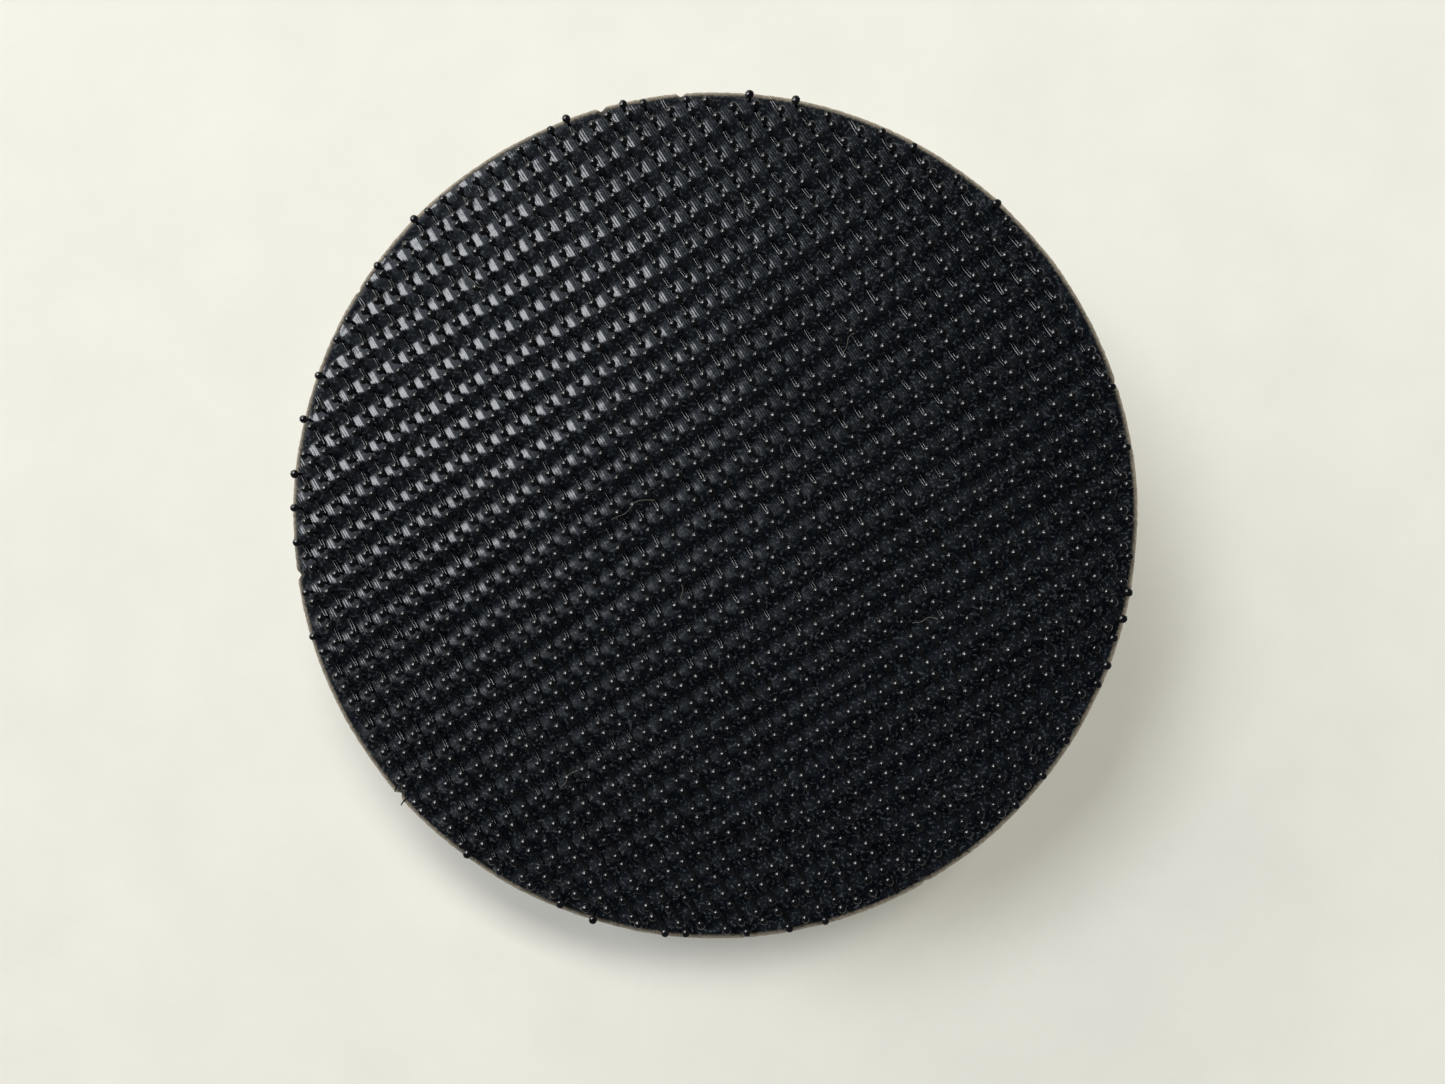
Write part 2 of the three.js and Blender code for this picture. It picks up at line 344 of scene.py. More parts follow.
def contact_adhesive(base):
    # Brushed contact adhesive: a dry amber-grey film, glossy where it was squeezed out.
    material, tree, shader = new_material("contact_adhesive", {"IOR": 1.48})
    place = object_place(tree)
    lumps = noise_value(tree, place, 0.9 * MM)
    tint = ramp(tree, lumps, shaded(base, 0.55), shaded(base, 1.2), 0.3, 0.7)
    tree.links.new(tint, shader.inputs["Base Color"])
    tree.links.new(between(tree, lumps, 0.3, 0.6), shader.inputs["Roughness"])
    bumped(tree, shader, lumps, 0.1 * MM)
    return material


def moulded_foam(base, cell_size):
    # Moulded polyurethane foam: a matte charcoal skin with closed cells just under it and small open pores,
    # whose pits are painted darker as painted shade.
    material, tree, shader = new_material(
        "polyurethane_foam",
        {"IOR": 1.45, "Sheen Weight": 0.25, "Sheen Roughness": 0.6},
    )
    place = object_place(tree)
    cells = add_node(
        tree,
        "ShaderNodeTexVoronoi",
        {"feature": "F1"},
        {"Vector": place, "Scale": 1 / cell_size},
    ).outputs["Distance"]
    pore_pits_and_painted_shade = ramp(tree, cells, (0, 0, 0, 1), (1, 1, 1, 1), 0.12, 0.32)
    scuffs = noise_value(tree, place, 4 * MM)
    tint = ramp(tree, scuffs, shaded(base, 0.7), shaded(base, 1.7), 0.3, 0.75)
    # The pore pits are darkened in the base colour: painted shade in the recesses, where the bump also sinks
    # them.
    tree.links.new(mixed(tree, pore_pits_and_painted_shade, shaded(base, 0.25), tint), shader.inputs["Base Color"])
    tree.links.new(between(tree, scuffs, 0.72, 0.95), shader.inputs["Roughness"])
    grain = noise_value(tree, place, 0.2 * MM)
    bumped(tree, shader, calculated(tree, "MULTIPLY_ADD", grain, 0.5, pore_pits_and_painted_shade), 0.12 * MM, 0.8)
    return material


def glass_filled_nylon(base):
    # Injection-moulded nylon with glass fibre: near-black, half matte, with faint pale swirls.
    material, tree, shader = new_material("glass_filled_nylon", {"IOR": 1.53})
    place = object_place(tree)
    flow = add_node(
        tree,
        "ShaderNodeTexNoise",
        inputs={
            "Vector": place,
            "Scale": 1 / (3 * MM),
            "Detail": 6,
            "Roughness": 0.7,
            "Distortion": 2.5,
        },
    ).outputs[0]
    tint = ramp(tree, flow, shaded(base, 0.75), shaded(base, 2.2), 0.35, 0.75)
    tree.links.new(tint, shader.inputs["Base Color"])
    grain = noise_value(tree, place, 0.25 * MM, detail=4)
    tree.links.new(between(tree, grain, 0.38, 0.66), shader.inputs["Roughness"])
    bumped(tree, shader, grain, 0.05 * MM, 0.7)
    return material


def zinc_plated_steel(base, turning_pitch):
    # Turned and pressed steel, bright zinc plated: satin grey with fine rings and dull patches.
    material, tree, shader = new_material("zinc_plated_steel", {"Metallic": 1.0})
    place = object_place(tree)
    split = add_node(tree, "ShaderNodeSeparateXYZ", inputs={0: place}).outputs
    along = calculated(tree, "ADD", from_axis(tree, split), split[2])
    rings = calculated(tree, "SINE", calculated(tree, "MULTIPLY", along, 2 * math.pi / turning_pitch))
    smears = noise_value(tree, place, 5 * MM, detail=5)
    tint = ramp(tree, smears, shaded(base, 0.72), shaded(base, 1.05), 0.3, 0.7)
    tree.links.new(tint, shader.inputs["Base Color"])
    tree.links.new(between(tree, smears, 0.24, 0.46), shader.inputs["Roughness"])
    bumped(tree, shader, rings, 0.004 * MM, 0.5)
    return material


def stray_fibre(base):
    # Cotton lint: pale, dull and faintly translucent.
    material, tree, shader = new_material("cotton_lint", {"Roughness": 0.8, "Sheen Weight": 0.3})
    place = object_place(tree)
    tint = ramp(tree, noise_value(tree, place, 0.8 * MM), shaded(base, 0.7), shaded(base, 1.2), 0.3, 0.7)
    tree.links.new(tint, shader.inputs["Base Color"])
    return material


def painted_board(base):
    # Painted board: matte off-white with faint roller mottle.
    material, tree, shader = new_material("painted_board", {"IOR": 1.3})
    place = object_place(tree)
    mottle = noise_value(tree, place, 14 * MM, detail=6, roughness=0.6)
    tint = ramp(tree, mottle, shaded(base, 0.97), shaded(base, 1.02), 0.3, 0.7)
    tree.links.new(tint, shader.inputs["Base Color"])
    tree.links.new(between(tree, mottle, 0.75, 0.95), shader.inputs["Roughness"])
    bumped(tree, shader, noise_value(tree, place, 0.8 * MM), 0.03 * MM, 0.35)
    return material


def object_of(name, bm, materials=()):
    """Links a new object that holds a bmesh, smooth but for its corners."""
    mesh = bpy.data.meshes.new(name)
    bm.to_mesh(mesh)
    bm.free()
    return linked(name, mesh, materials)


def linked(name, mesh, materials=(), corner=38):
    """Links a new object that holds a mesh, smooth but where it turns by more than corner degrees."""
    for material in materials:
        mesh.materials.append(material)
    for polygon in mesh.polygons:
        polygon.use_smooth = True
    mesh.set_sharp_from_angle(angle=math.radians(corner))
    made = bpy.data.objects.new(name, mesh)
    bpy.context.scene.collection.objects.link(made)
    return made


def hand_over(piece, slot, *nodes):
    """Fixes a finished piece to the pad, in the place of the CAD nodes it stands for."""
    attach(piece, BODY)
    if nodes:
        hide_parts(*nodes)


def rounded(corners, steps=4):
    """The (radius, z) points of an outline of (radius, z, fillet) corners, with each corner rounded."""
    points = []
    count = len(corners)
    for i, (radius, z, fillet) in enumerate(corners):
        here = Vector((radius, z))
        if not fillet:
            points.append(here)
            continue
        before = Vector(corners[i - 1][:2]) - here
        after = Vector(corners[(i + 1) % count][:2]) - here
        start = here + before.normalized() * fillet
        end = here + after.normalized() * fillet
        for k in range(steps + 1):
            t = k / steps
            points.append(start * (1 - t) ** 2 + here * (2 * t * (1 - t)) + end * t**2)
    return points


def turn(outline, segments, wobble=None):
    """A bmesh of (radius, z) points turned round Z. They start and end on the axis, or close on themselves.
    wobble(angle, radius, z) gives how far a point moves outwards."""
    bm = bmesh.new()
    rings = []
    for radius, z in outline:
        if radius < 1e-9:
            rings.append([bm.verts.new((0, 0, z))])
            continue
        ring = []
        for i in range(segments):
            angle = 2 * math.pi * i / segments
            reach = radius + (wobble(angle, radius, z) if wobble else 0)
            ring.append(bm.verts.new((reach * math.cos(angle), reach * math.sin(angle), z)))
        rings.append(ring)
    closing = [(rings[-1], rings[0])] if len(rings[0]) > 1 else []
    for low, high in list(zip(rings, rings[1:])) + closing:
        for i in range(segments):
            j = (i + 1) % segments
            corners = (low[i % len(low)], low[j % len(low)], high[j % len(high)], high[i % len(high)])
            bm.faces.new(list(dict.fromkeys(corners)))
    bmesh.ops.recalc_face_normals(bm, faces=bm.faces)
    return bm


def close_rings(bm, rings):
    """Joins rings that have the same number of points into a closed skin."""
    sides = len(rings[0])
    for low, high in zip(rings, rings[1:]):
        for k in range(sides):
            j = (k + 1) % sides
            bm.faces.new((low[k], low[j], high[j], high[k]))
    bm.faces.new(rings[0])
    bm.faces.new(rings[-1])


def add_tube(bm, path, width, sides=5, flatness=1.0):
    """Adds a closed tube of the given width along a path of points, flatness times as high as it is wide."""
    rings = []
    for i, point in enumerate(path):
        along = (path[min(i + 1, len(path) - 1)] - path[max(i - 1, 0)]).normalized()
        across = along.cross(Vector((0, 0, 1))).normalized()
        over = across.cross(along)
        angles = [2 * math.pi * k / sides for k in range(sides)]
        rings.append(
            [
                bm.verts.new(point + (across * math.cos(a) + over * math.sin(a) * flatness) * width / 2)
                for a in angles
            ]
        )
    close_rings(bm, rings)


def add_rings(bm, rings, sides):
    """Adds a closed solid of (radius, z, x) rings round Z, where x is how far a ring stands off the axis."""
    made = []
    for radius, z, shift in rings:
        angles = [2 * math.pi * k / sides for k in range(sides)]
        made.append(
            [bm.verts.new((shift + radius * math.cos(a), radius * math.sin(a), z)) for a in angles]
        )
    close_rings(bm, made)


def new_tree(name, sockets):
    """A Geometry Nodes tree with one geometry output, and the outputs of its named inputs."""
    tree = bpy.data.node_groups.new(name, "GeometryNodeTree")
    tree.interface.new_socket("Geometry", in_out="OUTPUT", socket_type="NodeSocketGeometry")
    for socket, kind in sockets.items():
        tree.interface.new_socket(socket, in_out="INPUT", socket_type=kind)
    return tree, add_node(tree, "NodeGroupInput").outputs


def set_out(tree, given, points, **how):
    """Ends a tree: it puts a real copy of the piece, with its finish, on each point."""
    piece = add_node(tree, "GeometryNodeObjectInfo", inputs={"Object": given["Piece"]}).outputs["Geometry"]
    inputs = {"Points": points, "Instance": piece, **how}
    instances = add_node(tree, "GeometryNodeInstanceOnPoints", inputs=inputs).outputs[0]
    real = add_node(tree, "GeometryNodeRealizeInstances", inputs={"Geometry": instances}).outputs[0]
    finish = {"Geometry": real, "Material": given["Finish"]}
    finished = add_node(tree, "GeometryNodeSetMaterial", inputs=finish).outputs[0]
    add_node(tree, "NodeGroupOutput", inputs={0: finished})


def lattice_tree():
    """A node tree that sets copies of a piece out on the sheet's lattice, inside the face's edge."""
    sockets = {
        "Rows": "NodeSocketInt",
        "Pairs": "NodeSocketInt",
        "Row Pitch": "NodeSocketFloat",
        "Pair Pitch": "NodeSocketFloat",
        "Along Row": "NodeSocketFloat",
        "Row Angle": "NodeSocketFloat",
        "Face Radius": "NodeSocketFloat",
        "Face Height": "NodeSocketFloat",
        "Scatter": "NodeSocketFloat",
        "Lean": "NodeSocketFloat",
        "Spin": "NodeSocketFloat",
        "Size Spread": "NodeSocketFloat",
        "Seed": "NodeSocketInt",
        "Piece": "NodeSocketObject",
        "Finish": "NodeSocketMaterial",
    }
    tree, given = new_tree("hook_lattice", sockets)

    def span(count, pitch):
        steps = calculated(tree, "SUBTRACT", given[count], 1.0)
        return calculated(tree, "MULTIPLY", steps, given[pitch])

    def vector(x, y, z):
        return add_node(tree, "ShaderNodeCombineXYZ", inputs={0: x, 1: y, 2: z}).outputs[0]

    def scattered(low, high, seed_step):
        seed = calculated(tree, "ADD", given["Seed"], seed_step)
        made = add_node(
            tree,
            "FunctionNodeRandomValue",
            {"data_type": "FLOAT_VECTOR"},
            {0: low, 1: high, "Seed": seed},
        )
        return made.outputs[0]

    grid = add_node(
        tree,
        "GeometryNodeMeshGrid",
        inputs={
            "Size X": span("Rows", "Row Pitch"),
            "Size Y": span("Pairs", "Pair Pitch"),
            "Vertices X": given["Rows"],
            "Vertices Y": given["Pairs"],
        },
    ).outputs[0]
    reach = given["Scatter"]
    back = calculated(tree, "MULTIPLY", reach, -1.0)
    shaken = add_node(
        tree,
        "GeometryNodeSetPosition",
        inputs={
            "Geometry": grid,
            "Offset": scattered(vector(back, back, 0.0), vector(reach, reach, 0.0), 0.0),
        },
    ).outputs[0]
    moved = add_node(
        tree,
        "GeometryNodeTransform",
        inputs={"Geometry": shaken, "Translation": vector(0.0, given["Along Row"], 0.0)},
    ).outputs[0]
    placed = add_node(
        tree,
        "GeometryNodeTransform",
        inputs={
            "Geometry": moved,
            "Rotation": vector(0.0, 0.0, given["Row Angle"]),
            "Translation": vector(0.0, 0.0, given["Face Height"]),
        },
    ).outputs[0]
    position = add_node(tree, "GeometryNodeInputPosition").outputs[0]
    split = add_node(tree, "ShaderNodeSeparateXYZ", inputs={0: position}).outputs
    outside = add_node(
        tree,
        "FunctionNodeCompare",
        {"data_type": "FLOAT", "operation": "GREATER_THAN"},
        {0: from_axis(tree, split), 1: given["Face Radius"]},
    ).outputs[0]
    kept = add_node(
        tree,
        "GeometryNodeDeleteGeometry",
        {"domain": "POINT"},
        {"Geometry": placed, "Selection": outside},
    ).outputs[0]
    lean_back = calculated(tree, "MULTIPLY", given["Lean"], -1.0)
    spin_low = calculated(tree, "SUBTRACT", given["Row Angle"], given["Spin"])
    spin_high = calculated(tree, "ADD", given["Row Angle"], given["Spin"])
    rotation = scattered(
        vector(lean_back, lean_back, spin_low),
        vector(given["Lean"], given["Lean"], spin_high),
        1.0,
    )
    least = calculated(tree, "SUBTRACT", 1.0, given["Size Spread"])
    scale = scattered(vector(least, least, least), (1.0, 1.0, 1.0), 2.0)
    set_out(tree, given, kept, Rotation=rotation, Scale=scale)
    return tree


def ring_tree():
    """A node tree that sets copies of a piece out evenly on a circle round Z, each facing outwards."""
    sockets = {
        "Count": "NodeSocketInt",
        "Circle Radius": "NodeSocketFloat",
        "Piece": "NodeSocketObject",
        "Finish": "NodeSocketMaterial",
    }
    tree, given = new_tree("ring_of_pieces", sockets)
    circle = add_node(
        tree,
        "GeometryNodeMeshCircle",
        inputs={"Vertices": given["Count"], "Radius": given["Circle Radius"]},
    ).outputs[0]
    number = add_node(tree, "GeometryNodeInputIndex").outputs[0]
    share = calculated(tree, "DIVIDE", calculated(tree, "MULTIPLY", number, 2 * math.pi), given["Count"])
    facing = add_node(tree, "ShaderNodeCombineXYZ", inputs={2: share}).outputs[0]
    set_out(tree, given, circle, Rotation=facing)
    return tree


def grown(name, tree, values, corner=38):
    """The plain object that a node tree makes with the given named inputs."""
    host = bpy.data.objects.new(name, bpy.data.meshes.new(name))
    bpy.context.scene.collection.objects.link(host)
    modifier = host.modifiers.new("grow", "NODES")
    modifier.node_group = tree
    for item in tree.interface.items_tree:
        if item.in_out == "INPUT":
            modifier[item.identifier] = values[item.name]
    evaluated = host.evaluated_get(bpy.context.evaluated_depsgraph_get())
    mesh = bpy.data.meshes.new_from_object(evaluated)
    bpy.data.objects.remove(host)
    if not mesh.polygons:
        raise RuntimeError(f"{name}: the node tree made nothing")
    return linked(name, mesh, corner=corner)


def lattice_values(hooks, seed, **changes):
    """The lattice tree's inputs for pieces of this pad's pile."""

    def odd_count(pitch):
        return 2 * math.ceil(FACE_RADIUS * 1.1 / pitch) + 1

    values = {
        "Rows": odd_count(hooks.row_pitch),
        "Pairs": odd_count(hooks.pair_pitch),
        "Row Pitch": hooks.row_pitch,
        "Pair Pitch": hooks.pair_pitch,
        "Row Angle": hooks.row_angle,
        "Face Height": FACE_Z,
        "Scatter": 0.05 * MM,
        "Lean": hooks.lean,
        "Spin": math.pi,
        "Size Spread": 0.14,
        "Seed": seed,
    }
    values.update(changes)
    return values


def disc_points(cells):
    """Rows of points on the unit disc: a square grid drawn in so that its border is the circle."""
    rows = []
    for j in range(cells + 1):
        row = []
        for i in range(cells + 1):
            x = 2 * i / cells - 1
            y = 2 * j / cells - 1
            if abs(x) > abs(y):
                reach, angle = x, math.pi / 4 * y / x
            elif y:
                reach, angle = y, math.pi / 2 - math.pi / 4 * x / y
            else:
                reach, angle = 0, 0
            row.append((reach * math.cos(angle), reach * math.sin(angle)))
        rows.append(row)
    return rows


def cut_line(angle, notch_depth):
    """How far the cut edge stands out from its circle at an angle: a slight wander and a few nicks."""
    wander = noise.noise((6 * math.cos(angle), 6 * math.sin(angle), 0)) * 0.06 * MM
    ragged = noise.noise((90 * math.cos(angle), 90 * math.sin(angle), 3)) * 0.05 * MM
    nick_width = math.radians(0.7)
    out = wander + ragged
    for degrees, share in NICKS:
        off = abs((angle - math.radians(degrees) + math.pi) % (2 * math.pi) - math.pi)
        out -= notch_depth * share * max(0, 1 - off / nick_width)
    return out


class PAD_OT_hook_sheet(bpy.types.Operator):
    """Builds the woven sheet that the hooks stand on, with its sloping cut edge"""

    bl_idname = "pad.hook_sheet"
    bl_label = "Hook sheet"

    def execute(self, context):
        sheet, hooks = context.scene.pad_sheet, context.scene.pad_hooks
        cells = 300  # fine enough to follow the rise to each pair of hooks
        thickness = FACE_Z - SHEET_LOW.z
        top_radius = FACE_RADIUS - sheet.edge_slope - 0.06 * MM
        turned_back = Matrix.Rotation(-hooks.row_angle, 2)

        def lift(x, y):
            """How far the face stands up at a point: it climbs to each pair of hooks and falls again."""
            across, back = turned_back @ Vector((x, y))
            climb = math.cos(2 * math.pi * (-back - 0.6 * hooks.pair_gap) / hooks.pair_pitch)
            climb = math.asin(0.96 * climb) / math.pi + 0.5
            beside = 0.92 - 0.08 * math.cos(2 * math.pi * across / hooks.row_pitch)
            slow = 0.5 * noise.noise((x * 90, y * 90, 0)) + 0.12 * noise.noise((x * 900, y * 900, 4))
            inside = min(1, (top_radius - math.hypot(x, y)) / (0.5 * MM))
            return sheet.pucker * (climb * beside - 0.6 + slow) * max(0, inside)

        bm = bmesh.new()
        verts = []
        for row in disc_points(cells):
            line = []
            for unit_x, unit_y in row:
                angle = math.atan2(unit_y, unit_x)
                reach = top_radius + cut_line(angle, sheet.notch_depth) * math.hypot(unit_x, unit_y) ** 40
                x, y = unit_x * reach, unit_y * reach
                line.append(bm.verts.new((x, y, FACE_Z + lift(x, y))))
            verts.append(line)
        for low, high in zip(verts, verts[1:]):
            for i in range(cells):
                bm.faces.new((low[i], low[i + 1], high[i + 1], high[i]))
        border = verts[0][:cells]
        border += [line[cells] for line in verts[:cells]]
        border += verts[cells][:0:-1]
        border += [verts[k][0] for k in range(cells, 0, -1)]
        # The cut edge, as how far it stands out from the face's border and how far down it is.
        edge_outline = (
            (sheet.edge_slope * 0.3, 0.03 * MM),
            (sheet.edge_slope * 0.9, 0.13 * MM),
            (sheet.edge_slope + 0.03 * MM, 0.22 * MM),
            (sheet.edge_slope + 0.03 * MM, thickness - 0.08 * MM),
            (sheet.edge_slope - 0.1 * MM, thickness),
        )
        ring = border
        for out, down in edge_outline:
            lower = []
            for vert in border:
                flat = Vector((vert.co.x, vert.co.y, 0))
                place = flat + flat.normalized() * out
                lower.append(bm.verts.new((place.x, place.y, FACE_Z - down)))
            for i in range(len(ring)):
                j = (i + 1) % len(ring)
                face = bm.faces.new((ring[i], lower[i], lower[j], ring[j]))
                face.material_index = 1
            ring = lower
        centre = bm.verts.new((0, 0, SHEET_LOW.z))
        for i in range(len(ring)):
            face = bm.faces.new((ring[i], centre, ring[(i + 1) % len(ring)]))
            face.material_index = 1
        bmesh.ops.recalc_face_normals(bm, faces=bm.faces)
        weave = coated_woven_polyester(sheet, hooks)
        piece = object_of("woven_hook_sheet", bm, [weave, cut_resin_edge(sheet.edge_colour)])
        hand_over(piece, "woven_nylon_sheet", "hook_sheet")
        return {"FINISHED"}


class PAD_OT_hooks(bpy.types.Operator):
    """Grows the pile: two hooks to a pair, set out in rows by Geometry Nodes"""

    bl_idname = "pad.hooks"
    bl_label = "Hooks"

    def execute(self, context):
        hooks = context.scene.pad_hooks
        head = hooks.head_width / 2
        stem = hooks.filament_width / 2
        tall = HOOK_HEIGHT
        bm = bmesh.new()
        add_rings(
            bm,
            [
                (stem * 1.4, -0.08 * tall, 0),
                (stem, 0.2 * tall, stem * 0.2),
                (stem, 0.45 * tall, stem * 0.4),
                (stem * 1.1, 0.7 * tall, stem * 0.2),
            ],
            sides=6,
        )
        # The melted head: a round-edged button with a low conical top, that hangs over its stem.
        add_rings(
            bm,
            [
                (head * 0.42, tall * 0.64, 0),
                (head * 0.86, tall * 0.71, 0),
                (head, tall * 0.81, head * 0.03),
                (head * 0.93, tall * 0.875, head * 0.04),
                (head * 0.8, tall * 0.912, head * 0.04),
                (head * 0.5, tall * 0.945, head * 0.04),
                (head * 0.22, tall * 0.974, head * 0.04),
            ],
            sides=10,
        )
        bmesh.ops.recalc_face_normals(bm, faces=bm.faces)
        hook = object_of("hook", bm)
        tree = lattice_tree()
        nylon = moulded_nylon_filament(hooks.colour)
        for name, along, seed in (("first", 0, 11), ("second", -hooks.pair_gap, 12)):
            values = lattice_values(hooks, seed, Piece=hook, Finish=nylon)
            values["Along Row"] = along
            values["Face Radius"] = FACE_RADIUS - 0.6 * MM
            piece = grown(f"hooks_{name}_of_pairs", tree, values, corner=75)
            hand_over(piece, "nylon_hooks", "hook_pile")
        bpy.data.objects.remove(hook)
        return {"FINISHED"}


class PAD_OT_floats(bpy.types.Operator):
    """Lays the two filaments that run over the sheet from each pair of hooks and climb to the next"""

    bl_idname = "pad.floats"
    bl_label = "Filament floats"

    def execute(self, context):
        hooks = context.scene.pad_hooks
        span = hooks.pair_pitch - hooks.pair_gap
        width = hooks.filament_width * 0.7
        bm = bmesh.new()
        for side in (-1, 1):
            path = []
            for k in range(7):
                t = k / 6
                rise = (-0.03 + 0.26 * t**1.6) * MM
                spread = side * width * (0.5 + 0.15 * math.sin(math.pi * t))
                path.append(Vector((spread, span * (0.5 - t), rise)))
            add_tube(bm, path, width, sides=6, flatness=0.6)
        bmesh.ops.recalc_face_normals(bm, faces=bm.faces)
        float_piece = object_of("float", bm)
        nylon = bpy.data.materials["nylon_monofilament"]
        values = lattice_values(hooks, 21, Piece=float_piece, Finish=nylon)
        values["Along Row"] = -hooks.pair_gap - span / 2
        values["Face Radius"] = FACE_RADIUS - 1.1 * MM
        values["Lean"] = math.radians(3)
        values["Spin"] = math.radians(4)
        piece = grown("filament_floats", lattice_tree(), values, corner=75)
        bpy.data.objects.remove(float_piece)
        hand_over(piece, "nylon_hooks")
        return {"FINISHED"}


class PAD_OT_loose_ends(bpy.types.Operator):
    """Adds the cut filament ends at the rim and the lint caught on the hooks"""

    bl_idname = "pad.loose_ends"
    bl_label = "Loose ends and lint"

    def execute(self, context):
        sheet, hooks = context.scene.pad_sheet, context.scene.pad_hooks
        chance = random.Random(5)
        ends = bmesh.new()
        for degrees, reach in CUT_ENDS:
            angle = math.radians(degrees)
            out = Vector((math.cos(angle), math.sin(angle), 0))
            side = Vector((-out.y, out.x, 0))
            curl = chance.uniform(-0.6, 0.6)
            path = []
            for k in range(6):
                t = k / 5
                place = out * (FACE_RADIUS - 0.5 * MM + reach * MM * t)
                place += side * (curl * reach * MM * t * t)
                place.z = FACE_Z + (0.02 - 0.25 * t * t) * MM
                path.append(place)
            add_tube(ends, path, hooks.filament_width * 0.6)
        bmesh.ops.recalc_face_normals(ends, faces=ends.faces)
        piece = object_of("cut_filament_ends", ends, [bpy.data.materials["nylon_monofilament"]])
        hand_over(piece, "nylon_hooks")
        lint = bmesh.new()
        for x, y, size, degrees, bend in LINT:
            along = Vector((math.cos(math.radians(degrees)), math.sin(math.radians(degrees)), 0))
            side = Vector((-along.y, along.x, 0))
            path = []
            for k in range(13):
                t = k / 12 - 0.5
                wave = bend * (0.25 - t * t) + 0.08 * math.sin(9 * t + x)
                place = Vector((x, y, 0)) + along * (size * t) + side * (size * 0.6 * wave)
                path.append(Vector((place.x * MM, place.y * MM, TIPS_Z - (0.05 + 0.5 * abs(t)) * MM)))
            add_tube(lint, path, 0.025 * MM, sides=4)
        bmesh.ops.recalc_face_normals(lint, faces=lint.faces)
        piece = object_of("lint", lint, [stray_fibre(sheet.lint_colour)])
        hand_over(piece, "woven_nylon_sheet")
        return {"FINISHED"}


class PAD_OT_adhesives(bpy.types.Operator):
    """Builds the squeezed-out film under the sheet, and finishes the film on the plate"""

    bl_idname = "pad.adhesives"
    bl_label = "Adhesives"

    def execute(self, context):
        glue = contact_adhesive(context.scene.pad_sheet.glue_colour)
        low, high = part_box("facing_adhesive")
        fillet = 0.08 * MM
        corners = [(0, low.z, 0), (high.x, low.z, fillet), (high.x, high.z, fillet), (0, high.z, 0)]

        def squeeze(angle, radius, z):
            if radius < high.x * 0.9:
                return 0
            return noise.noise((14 * math.cos(angle), 14 * math.sin(angle), 8)) * 0.22 * MM

        piece = object_of("squeezed_adhesive", turn(rounded(corners), 256, squeeze), [glue])
        hand_over(piece, "adhesive", "facing_adhesive")
        dress("plate_adhesive", glue)
        return {"FINISHED"}


def dress(node, material):
    """Gives a CAD node that stays in view its finish."""
    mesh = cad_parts[node].data
    mesh.materials.clear()
    mesh.materials.append(material)


class PAD_OT_cushion(bpy.types.Operator):
    """Builds the foam cushion, crowned at its side and hollow over the rivets"""

    bl_idname = "pad.cushion"
    bl_label = "Foam cushion"

    def execute(self, context):
        body = context.scene.pad_body
        low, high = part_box("foam_cushion")
        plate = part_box("backing_plate")[1]
        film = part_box("plate_adhesive")[1]
        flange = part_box("hub_flange")[1]
        lip_radius = plate.x + 1.75 * MM
        pocket_radius = plate.x + 0.3 * MM
        hollow_radius = flange.x + 1 * MM
        hollow_z = film.z + 3 * MM
        corners = [
            (0, hollow_z, 0),
            (hollow_radius, hollow_z, 0.8 * MM),
            (hollow_radius, film.z, 0.3 * MM),
            (pocket_radius, film.z, 0.2 * MM),
            (pocket_radius, low.z, 0.3 * MM),
            (lip_radius, low.z, 0.9 * MM),
        ]
        side_steps = 14
        side_low, side_high = low.z + 1.1 * MM, high.z - 0.5 * MM
        outline = rounded(corners)
        for k in range(side_steps + 1):
            t = k / side_steps
            straight = lip_radius + (high.x - lip_radius) * t
            crown = 0.45 * MM * math.sin(math.pi * t)
            outline.append(Vector((straight + crown, side_low + (side_high - side_low) * t)))
        outline += [Vector((high.x - 0.25 * MM, high.z)), Vector((0, high.z))]

        def uneven(angle, radius, z):
            if radius < pocket_radius + 0.5 * MM:
                return 0
            dent = noise.noise((7 * math.cos(angle), 7 * math.sin(angle), z * 160))
            return (dent - 0.6) * 0.12 * MM

        piece = object_of(
            "foam_cushion_body",
            turn(outline, 288, uneven),
            [moulded_foam(body.foam_colour, body.cell_size)],
        )
        hand_over(piece, "polyurethane_foam", "foam_cushion")
        return {"FINISHED"}


class PAD_OT_plate(bpy.types.Operator):
    """Builds the moulded plate with its edge bead and ribs"""

    bl_idname = "pad.plate"
    bl_label = "Backing plate"

    def execute(self, context):
        body = context.scene.pad_body
        low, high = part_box("backing_plate")
        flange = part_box("hub_flange")[1]
        web_z = flange.z
        bead_width = 2 * MM
        hole_radius = 10.75 * MM
        corners = [
            (hole_radius, web_z, 0.2 * MM),
            (high.x - bead_width - 0.5 * MM, web_z, 0.5 * MM),
            (high.x - bead_width, low.z, 0.45 * MM),
            (high.x, low.z, 0.6 * MM),
            (high.x, high.z, 0.2 * MM),
            (hole_radius, high.z, 0.2 * MM),
        ]
        nylon = glass_filled_nylon(body.nylon_colour)
        piece = object_of("moulded_plate", turn(rounded(corners), 224), [nylon])
        hand_over(piece, "glass_filled_nylon", "backing_plate")
        start = flange.x + 1 * MM
        end = high.x - bead_width
        rib = bmesh.new()
        bmesh.ops.create_cube(rib, size=1)
        depth = web_z - low.z
        place = Matrix.Translation(((start + end) / 2, 0, low.z + depth / 2 + 0.25 * MM))
        size = Matrix.Diagonal((end - start, 1.75 * MM, depth, 1))
        bmesh.ops.transform(rib, matrix=place @ size, verts=rib.verts)
        for vert in rib.verts:
            # Draft: a rib is narrower at its crest than at its root.
            vert.co.y *= 1.1 if vert.co.z > low.z + depth / 2 else 0.8
        bmesh.ops.bevel(rib, geom=rib.edges[:], offset=0.3 * MM, segments=3, affect="EDGES")
        rib_object = object_of("rib", rib)
        values = {"Count": body.rib_count, "Circle Radius": 1e-6, "Piece": rib_object, "Finish": nylon}
        ribs = grown("plate_ribs", ring_tree(), values)
        bpy.data.objects.remove(rib_object)
        hand_over(ribs, "glass_filled_nylon")
        return {"FINISHED"}


